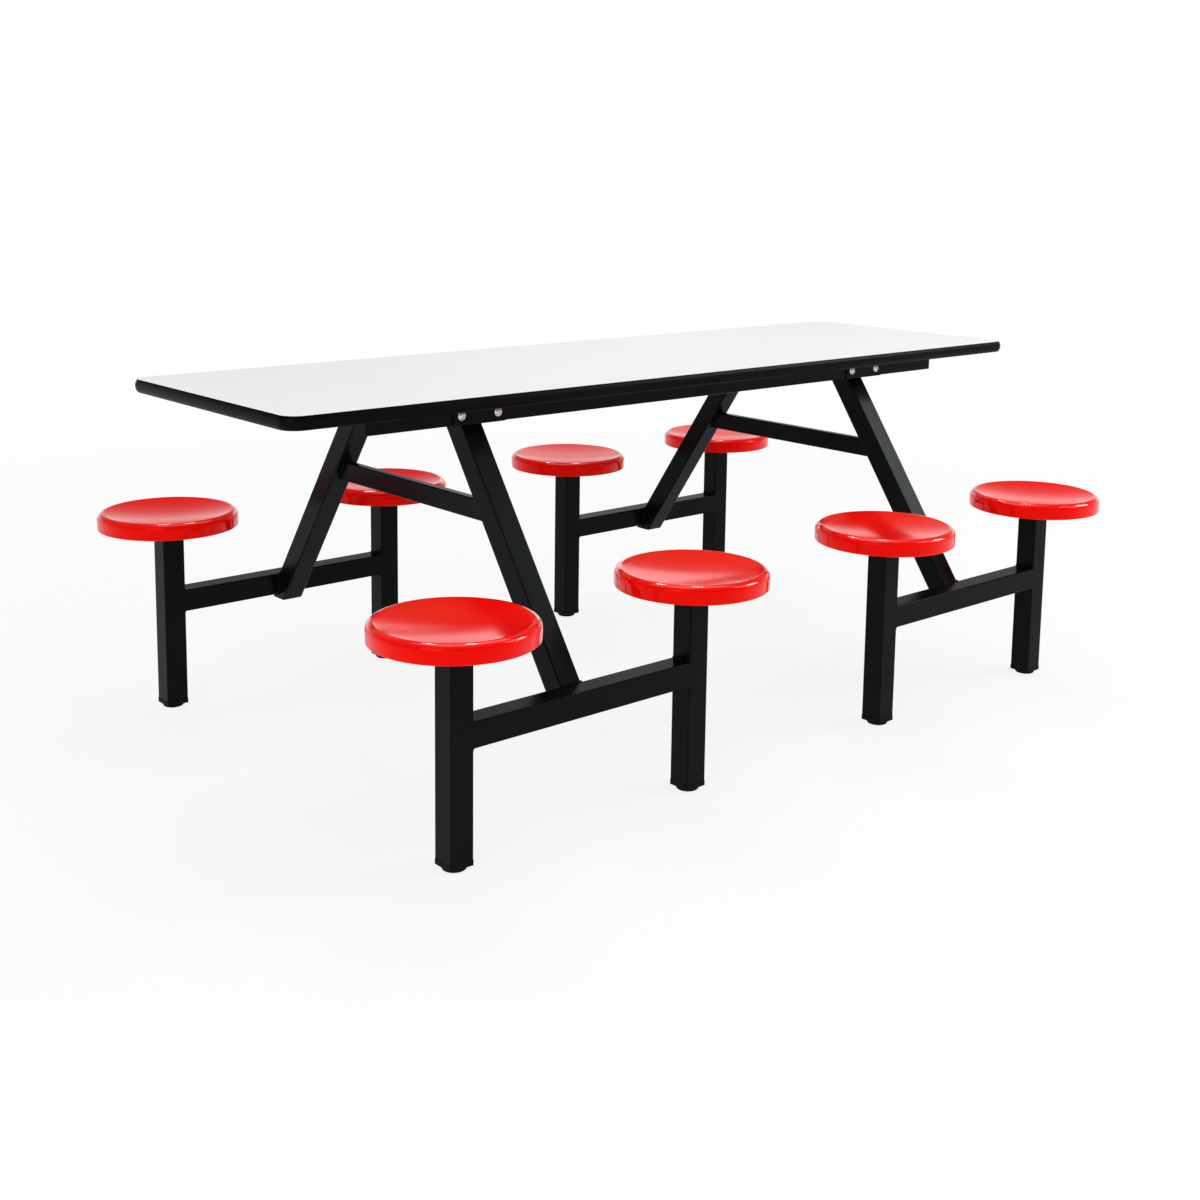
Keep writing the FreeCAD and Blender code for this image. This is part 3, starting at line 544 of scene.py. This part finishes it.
def circle_path(recipe, radius, facets):
    """A level circle to sweep a section round."""
    path = recipe.add("GeometryNodeCurvePrimitiveCircle", None, {"Resolution": facets, "Radius": radius})
    return recipe.add("GeometryNodeSetCurveNormal", {"mode": "Z_UP"}, {0: path})


def object_line(recipe, name):
    """The drawn line of an object input, as a curve."""
    info = recipe.add("GeometryNodeObjectInfo", None, {0: recipe[name]}, "Geometry")
    return recipe.add("GeometryNodeMeshToCurve", None, {0: info})


TURNING = 50 * MM
outline = seat_recipe.add("GeometryNodeMeshToCurve", None, {0: seat_recipe["Line"]})
outline = seat_recipe.add("GeometryNodeTransform", None, {0: outline, "Translation": (-TURNING, 0, 0)})
shell = seat_recipe.swept(circle_path(seat_recipe, TURNING, seat_recipe["Facets"]), outline)

across = seat_recipe.add("ShaderNodeCombineXYZ", None, {"Y": seat_recipe["Thickness"] * 0.5})
back_across = seat_recipe.add("ShaderNodeCombineXYZ", None, {"Y": seat_recipe["Thickness"] * -0.5})
rib_path = seat_recipe.add("GeometryNodeCurvePrimitiveLine", None, {0: back_across, 1: across})
rib_path = seat_recipe.add("GeometryNodeSetCurveNormal", {"mode": "Z_UP"}, {0: rib_path})
rib = seat_recipe.swept(rib_path, object_line(seat_recipe, "Rib"), **{"Fill Caps": True})
spots = seat_recipe.add("GeometryNodePoints", None, {0: seat_recipe["Ribs"]})
index = seat_recipe.add("GeometryNodeInputIndex")
turn = seat_recipe.add("ShaderNodeCombineXYZ", None, {"Z": index / seat_recipe["Ribs"] * math.tau})
ribs = seat_recipe.add("GeometryNodeInstanceOnPoints", None, {0: spots, "Instance": rib, "Rotation": turn})

BOSS_TURNING, BOSS_FACETS = 1 * MM, 20
boss_section = seat_recipe.add("GeometryNodeTransform", None,
                               {0: object_line(seat_recipe, "Boss"), "Translation": (-BOSS_TURNING, 0, 0)})
boss = seat_recipe.swept(circle_path(seat_recipe, BOSS_TURNING, BOSS_FACETS), boss_section)
square = seat_recipe.add("GeometryNodeCurvePrimitiveQuadrilateral", None,
                         {0: seat_recipe["Spread"], 1: seat_recipe["Spread"]})
bosses = seat_recipe.add("GeometryNodeInstanceOnPoints", None, {0: square, "Instance": boss})

parts = seat_recipe.add("GeometryNodeJoinGeometry", None, {0: [shell, ribs, bosses]})
placed = seat_recipe.add("GeometryNodeTransform", None, {0: parts, "Translation": seat_recipe["Place"]})
seat_recipe.serve(placed)
print(len(seat_recipe.tree.nodes), "nodes in the seat recipe")

# %% [markdown]
# The real seats all come out of one mould. Likewise one recipe is baked eight times. Each shell is centred
# on its CAD node, takes that node's place, and rides on its own seat body, so it turns with its spindle.

# %% Mould the eight seats
SIDES = {"front": -1, "back": 1}
helpers = {}
for name, points in (("Rib", rib_outline + rib_outline[:1]), ("Boss", boss_outline)):
    helpers[name] = bpy.data.objects.new(name, drawn_lines(in_metres(points)))
for side in SIDES:
    for number in range(1, 5):
        node = f"seat_shell_{side}_{number}"
        low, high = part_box(node)
        place = ((low.x + high.x) / 2, (low.y + high.y) / 2, high.z)
        seat_recipe.bake(f"seat_{side}_{number}_shell", drawn_lines(seat_outline), seat_plastic,
                         f"seat_{side}_{number}", [node], Place=place,
                         Facets=120, Ribs=8, Thickness=3 * MM, Spread=60 * MM, **helpers)
for helper in helpers.values():
    bpy.data.objects.remove(helper)

# %% [markdown]
# ## Edge band
#
# The band is one extrusion with a bulging face and a barbed tongue that is knocked into a groove round
# the board. Its section is drawn once and swept round a rectangle with filleted corners, as the real one
# is bent round the board.

# %% Bend the edge band
band_low, band_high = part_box("table_core")
band_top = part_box("table_laminate")[1].z
band_recipe = Recipe("edge band", Length="number", Width="number", Corner="number", Height="number",
                     Facets="count")
rectangle = band_recipe.add("GeometryNodeCurvePrimitiveQuadrilateral", None,
                            {0: band_recipe["Length"], 1: band_recipe["Width"]})
rounded = band_recipe.add("GeometryNodeFilletCurve", {"mode": "POLY"},
                          {0: rectangle, 1: band_recipe["Facets"], "Radius": band_recipe["Corner"]})
rounded = band_recipe.add("GeometryNodeSetCurveNormal", {"mode": "Z_UP"}, {0: rounded})
lift = band_recipe.add("ShaderNodeCombineXYZ", None, {"Z": band_recipe["Height"]})
rounded = band_recipe.add("GeometryNodeTransform", None, {0: rounded, "Translation": lift})
band_section = band_recipe.add("GeometryNodeMeshToCurve", None, {0: band_recipe["Line"]})
band_recipe.serve(band_recipe.swept(rounded, band_section))

BULGE = 4.95
half = (band_top - band_low.z) / MM / 2
bend = (half**2 + BULGE**2) / (2 * BULGE)
reach = math.degrees(math.asin(half / bend))
face = arc((BULGE - bend, 0), bend, -reach, reach, 18)
tongue = [(0, 0.7), (-2, 0.7), (-2.6, 1.4), (-4, 0.7), (-5, 0.7), (-5.6, 1.4), (-7, 0.7), (-8.6, 0.4)]
tongue += [(x, -1 - y) for x, y in reversed(tongue)]
band_outline = in_metres(face + tongue)
band_recipe.bake("table_band", drawn_lines(band_outline + band_outline[:1]), edge_band, "frame",
                 ["table_edge_band"], Length=band_high.x - band_low.x, Width=band_high.y - band_low.y,
                 Corner=32 * MM, Height=(band_top + band_low.z) / 2, Facets=14)

# %% [markdown]
# ## Weld beads
#
# Each seat bar is welded between two posts, each leg to its bar, each crossbar to its legs, and a plate
# to the top of each post. A bead could be carved or painted as a bump, but it stands in the corner and
# shows against the light, so it is real geometry: a round section swept along the corner, whose size
# swells and shrinks with the ripples that the welder's hand leaves.

# %% The bead recipe
RIPPLE_STEP, RIPPLE_HEIGHT = 0.3, 0.08
bead_recipe = Recipe("weld bead", Radius="number", Ripple="number", Uneven="number")
corner = bead_recipe.add("GeometryNodeMeshToCurve", None, {0: bead_recipe["Line"]})
fine = bead_recipe.add("GeometryNodeResampleCurve", {"mode": "LENGTH"},
                       {0: corner, "Length": bead_recipe["Ripple"] * RIPPLE_STEP})
along = bead_recipe.add("GeometryNodeSplineParameter", output="Length")
beat = along / bead_recipe["Ripple"] * math.tau
wave = bead_recipe.add("ShaderNodeMath", {"operation": "SINE"}, {0: beat})
wander = bead_recipe.add("ShaderNodeTexNoise", None, {"Scale": 90.0, "Detail": 1.0})
size = bead_recipe["Radius"] * (1 + RIPPLE_HEIGHT * wave + (wander - 0.5) * bead_recipe["Uneven"])
ring = bead_recipe.add("GeometryNodeCurvePrimitiveCircle", None, {"Resolution": 8, "Radius": 1.0})
bead_recipe.serve(bead_recipe.swept(fine, ring, Scale=size, **{"Fill Caps": True}), crease=80)
print(len(bead_recipe.tree.nodes), "nodes in the bead recipe")

# %% [markdown]
# The corners to weld are worked out from the boxes of the CAD nodes. A leg leans, so the place of its
# faces at a height comes from the line along its middle, which crosses the underside of the rail at
# `LEG_Y`. The corner between a bar's side and a post is not beaded: it is ground flat, as told below.

# %% The faces of a leg
TUBE, ROUND = 47 * MM, 3 * MM
LEAN = math.radians(34.64)
LEG_Y, LEG_Z = 164.9 * MM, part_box("rail_front")[0].z


def leg_face(z, outwards):
    """Distance from the table's middle line to a leg's outer (1) or inner (-1) face at a height."""
    return LEG_Y + (LEG_Z - z) * math.tan(LEAN) + outwards * TUBE / 2 / math.cos(LEAN)


def leg_beads(low, high, x, sign):
    """Beads where a leg stands against its bar and under it."""
    inner = min(abs(low.y), abs(high.y)) * sign
    outer = (low.y + high.y) / 2
    left, right = x - TUBE / 2, x + TUBE / 2
    return [(left, inner, high.z), (left, inner, low.z), (left, outer, low.z), (right, outer, low.z),
            (right, inner, low.z), (right, inner, high.z), (left, inner, high.z)]


print("legs", round(TUBE / MM), "mm square, leaning", round(math.degrees(LEAN), 1), "degrees")

# %% [markdown]
# A bead that runs right round a tube or a plate ends where it starts. A ground joint is noted by its
# place along the table, the way from its post to the bar, its face and the way inwards from that face.

# %% Find the corners
LEG_PLATE_Y, LEG_PLATE_BEAD = 178 * MM, (2 * MM, 35 * MM)
POST_PLATE, POST_PLATE_THICKNESS = 45 * MM, 3 * MM
ENDS = ("left", "right")
beads, ground_joints = [], []
for end in ENDS:
    low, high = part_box(f"crossbar_{end}")
    bar_x = (low.x + high.x) / 2
    for sign in SIDES.values():
        y_low, y_high = sign * leg_face(low.z, -1), sign * leg_face(high.z, -1)
        beads.append([(low.x, y_low, low.z), (high.x, y_low, low.z), (high.x, y_high, high.z),
                      (low.x, y_high, high.z), (low.x, y_low, low.z)])
        for x in (bar_x - TUBE / 2, bar_x + TUBE / 2):
            beads.append([(x, sign * LEG_PLATE_Y, LEG_Z + above) for above in LEG_PLATE_BEAD])
    for side, sign in SIDES.items():
        low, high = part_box(f"seat_bar_{side}_{end}")
        beads.append(leg_beads(low, high, bar_x, sign))
        for x, away in ((low.x, 1), (high.x, -1)):
            for z in (low.z, high.z):
                beads.append([(x, low.y + ROUND, z), (x, high.y - ROUND, z)])
            ground_joints += [(x, away, low.y, 1), (x, away, high.y, -1)]
plate_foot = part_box("pivot_housings")[1].z - POST_PLATE_THICKNESS
for side in SIDES:
    for number in range(1, 5):
        low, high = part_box(f"seat_shell_{side}_{number}")
        x, y = (low.x + high.x) / 2, (low.y + high.y) / 2
        around = [(x + i * POST_PLATE / 2, y + j * POST_PLATE / 2, plate_foot)
                  for i, j in ((-1, -1), (1, -1), (1, 1), (-1, 1))]
        beads.append(around + around[:1])
print(len(beads), "beads,", len(ground_joints), "ground joints")

# %% [markdown]
# All beads lie on the frame, which is one rigid body, so they can be one mesh. The ripples are 3.4 mm
# apart, as a hand-held torch leaves them.

# %% Lay the beads
bead_recipe.bake("weld_beads", drawn_lines(*beads), frame_paint, "frame",
                 Radius=2.2 * MM, Ripple=3.4 * MM, Uneven=0.35)

# %% [markdown]
# ## Ground joints
#
# A bar and its posts are equally deep, so their faces are level, and the weld there is filled and ground
# flat before painting: no seam shows. Between two tubes with rounded corners there would be a groove.
# A thin plate fills it, with small hollow fillets above and below the bar.

# %% Fill and grind the joints
PROUD = 0.06 * MM
FILLET, FILLET_CENTRE, FILLET_END, GROOVE = 5, (3.5, 3.5), 6.5, 3.2


def ground_plate(shape, x, away, face_y, inward, bottom, top):
    """A plate level with the faces of a bar and a post, from their face into the groove between them."""
    fillet = arc(FILLET_CENTRE, FILLET, 180, 270, 5)
    upper = [(-GROOVE, FILLET_END)] + fillet + [(FILLET_END, -GROOVE)]
    outline = [(x + away * dx * MM, top + dz * MM) for dx, dz in upper]
    outline += [(x + away * dx * MM, bottom - dz * MM) for dx, dz in reversed(upper)]
    rings = [[shape.verts.new((px, y, pz)) for px, pz in outline]
             for y in (face_y - inward * PROUD, face_y + inward * ROUND)]
    for ring in rings:
        shape.faces.new(ring)
    for step in range(len(outline)):
        shape.faces.new([rings[0][step - 1], rings[0][step], rings[1][step], rings[1][step - 1]])


shape = bmesh.new()
bar_low, bar_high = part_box("seat_bar_front_left")
for joint in ground_joints:
    ground_plate(shape, *joint, bar_low.z, bar_high.z)
bmesh.ops.recalc_face_normals(shape, faces=shape.faces)
ground_mesh = bpy.data.meshes.new("ground_joints")
shape.to_mesh(ground_mesh)
shape.free()
ground_mesh.materials.append(frame_paint.material)
keep("ground_joints", ground_mesh, "frame")

# %% [markdown]
# ## Eased edges
#
# Cut plates and moulded caps never have knife edges: paint and moulds round them by half a millimetre.
# The eye misses that rounding at once, because it is what catches light along an edge. A Bevel modifier
# adds it to a copy of the CAD shape. The copy is merged first, since the CAD mesh is loose triangles, and
# the flat faces are joined so that only true edges are bevelled.

# %% Ease the small parts
FLAT_ANGLE, EDGE_ANGLE = math.radians(0.5), math.radians(40)


def eased(node, width, finish):
    """A copy of a CAD node with its sharp edges rounded."""
    source = frame["nodes"][node].data
    loose = bpy.data.meshes.new(node)
    loose.from_pydata([point.co for point in source.vertices], [],
                      [face.vertices for face in source.polygons])
    shape = bmesh.new()
    shape.from_mesh(loose)
    bmesh.ops.remove_doubles(shape, verts=shape.verts, dist=MERGE)
    bmesh.ops.dissolve_limit(shape, angle_limit=FLAT_ANGLE, verts=shape.verts, edges=shape.edges)
    for face in shape.faces:
        face.smooth = True
    shape.to_mesh(loose)
    shape.free()
    loose.materials.append(finish.material)
    piece = keep(f"{node}_eased", loose, "frame", [node])
    rounding = piece.modifiers.new("eased edges", "BEVEL")
    rounding.width, rounding.segments, rounding.limit_method = width * MM, 2, "ANGLE"
    rounding.angle_limit, rounding.harden_normals = EDGE_ANGLE, True


for node, width in {"clamp_plates": 0.6, "leg_plates": 0.6, "pivot_housings": 0.4}.items():
    eased(node, width, frame_paint)
for node, width in {"post_end_caps": 0.7, "rail_end_plugs": 0.6}.items():
    eased(node, width, black_plastic)
eased("bracket_nuts", 0.5, zinc)

# %% [markdown]
# ## Floor, world and lamps
#
# The floor is a plain pale sheet. It keeps soft shadows, and turns to pure white far from the table so
# that no horizon shows. The white surroundings give about half of the light. For reflections they are
# white near the horizon and darker above, as in a studio whose backdrop is lit and whose ceiling is not:
# that gives the grey sheen on the tubes' upper faces.

# %% Make the floor
floor_mesh = bpy.data.meshes.new("floor")
REACH = 60
floor_mesh.from_pydata([(-REACH, -REACH, 0), (REACH, -REACH, 0), (REACH, REACH, 0), (-REACH, REACH, 0)],
                       [], [(0, 1, 2, 3)])
floor = bpy.data.objects.new("floor", floor_mesh)
bpy.context.scene.collection.objects.link(floor)

pale = Finish("floor", Base_Color=(0.85, 0.85, 0.85, 1), Roughness=0.9, Specular_IOR_Level=0.0)
rays = pale.tree.nodes.new("ShaderNodeLightPath")
seen = Wire(pale, rays.outputs["Is Camera Ray"]) + Wire(pale, rays.outputs["Is Glossy Ray"])
seen = seen + Wire(pale, rays.outputs["Is Transmission Ray"])
SHADOW_REACH, WHITE_FROM, NEAR_WHITE = 1.6, 4.5, 0.84
distance = pale.add("ShaderNodeVectorMath", {"operation": "LENGTH"}, {0: pale.place}, output="Value")
far_off = pale.add("ShaderNodeMapRange", None,
                   {"Value": distance, "From Min": SHADOW_REACH, "From Max": WHITE_FROM,
                    "To Min": NEAR_WHITE, "To Max": 1.0})
glow = pale.add("ShaderNodeEmission", None, {"Color": (1, 1, 1, 1), "Strength": 1.0})
surface = pale.add("ShaderNodeMixShader", None,
                   {0: seen * far_off, 1: Wire(pale, pale.shader.outputs[0]), 2: glow})
pale.tree.links.new(surface.socket, pale.tree.nodes["Material Output"].inputs["Surface"])
floor_mesh.materials.append(pale.material)
print("floor", 2 * REACH, "m wide")

# %% [markdown]
# One world serves three kinds of rays. The camera sees pure white, matt surfaces get an even half-bright
# fill, and reflections see the backdrop, whose grey depends on the height they look at.

# %% Make the world
BACKDROP = ((0.08, 1.0), (0.3, 0.28), (0.45, 0.1), (1.0, 0.1))
FILL = 0.5
world = bpy.data.worlds.new("studio")
world.use_nodes = True
bpy.context.scene.world = world
sky = Nodes(world.node_tree)
world.node_tree.nodes.clear()
direction = sky.add("ShaderNodeTexCoord", output="Generated")
height = sky.add("ShaderNodeSeparateXYZ", None, {0: direction}, output="Z")
backdrop = sky.add("ShaderNodeValToRGB", {"stops": BACKDROP}, {"Fac": height})
kinds = world.node_tree.nodes.new("ShaderNodeLightPath")
glossy = Wire(sky, kinds.outputs["Is Glossy Ray"]) + Wire(sky, kinds.outputs["Is Transmission Ray"])
shade = sky.add("ShaderNodeMix", {"data_type": "RGBA"},
                {0: glossy, 6: (FILL, FILL, FILL, 1), 7: backdrop}, 2)
shade = sky.add("ShaderNodeMix", {"data_type": "RGBA"},
                {0: Wire(sky, kinds.outputs["Is Camera Ray"]), 6: shade, 7: (1, 1, 1, 1)}, 2)
light = sky.add("ShaderNodeBackground", None, {"Color": shade, "Strength": 1.0})
exit_node = world.node_tree.nodes.new("ShaderNodeOutputWorld")
world.node_tree.links.new(light.socket, exit_node.inputs["Surface"])
print("world fill", FILL)

# %% [markdown]
# A wide soft lamp over the table lights the top. The lamps on the left and right draw the faces of the
# black tubes apart, since black paint shows by what it reflects. One in front of the right end brightens
# the front band, and a weak low one behind the table puts a soft sheen on the dishes. These lamps are
# large, or hang high, because a small low one is mirrored in a seat as a hard white patch. Glints on the
# rims need the opposite, a small source, so two far lamps with parallel rays make them.

# %% Hang the lamps


def soft_lamp(name, place, aim, width, depth, watts):
    """A rectangular lamp that faces a point."""
    data = bpy.data.lights.new(name, "AREA")
    data.shape, data.size, data.size_y, data.energy = "RECTANGLE", width, depth, watts
    lamp = bpy.data.objects.new(name, data)
    lamp.location = place
    lamp.rotation_mode = "QUATERNION"
    lamp.rotation_quaternion = (Vector(aim) - Vector(place)).to_track_quat("-Z", "Y")
    bpy.context.scene.collection.objects.link(lamp)
    print(name, watts, "W on", round(width * depth, 1), "square metres")


soft_lamp("overhead_lamp", (0, 0, 3.4), (0, 0, 0.5), 3.2, 2.2, 25)
soft_lamp("left_lamp", (-3.4, -1.7, 2.15), (0, 0, 0.5), 1.7, 2.0, 32)
soft_lamp("right_lamp", (3.3, -2.1, 2.7), (0, 0, 0.5), 1.2, 1.4, 55)
soft_lamp("front_lamp", (1.6, -2.2, 2.1), (-0.55, -0.37, 0.6), 1.0, 1.9, 12)
soft_lamp("back_lamp", (1.5, 1.9, 1.1), (-0.55, -0.5, 0.3), 1.2, 0.5, 1.1)


def far_lamp(name, azimuth, height, width, strength):
    """A lamp so far away that its rays are parallel. The angles are in degrees."""
    data = bpy.data.lights.new(name, "SUN")
    data.angle, data.energy = math.radians(width), strength
    lamp = bpy.data.objects.new(name, data)
    lamp.rotation_euler = (0, math.radians(90 - height), math.radians(azimuth))
    bpy.context.scene.collection.objects.link(lamp)
    print(name, "at", azimuth, "and", height, "degrees")


far_lamp("left_far_lamp", 68, 56, 5, 0.22)
far_lamp("right_far_lamp", 40, 62, 5, 0.22)
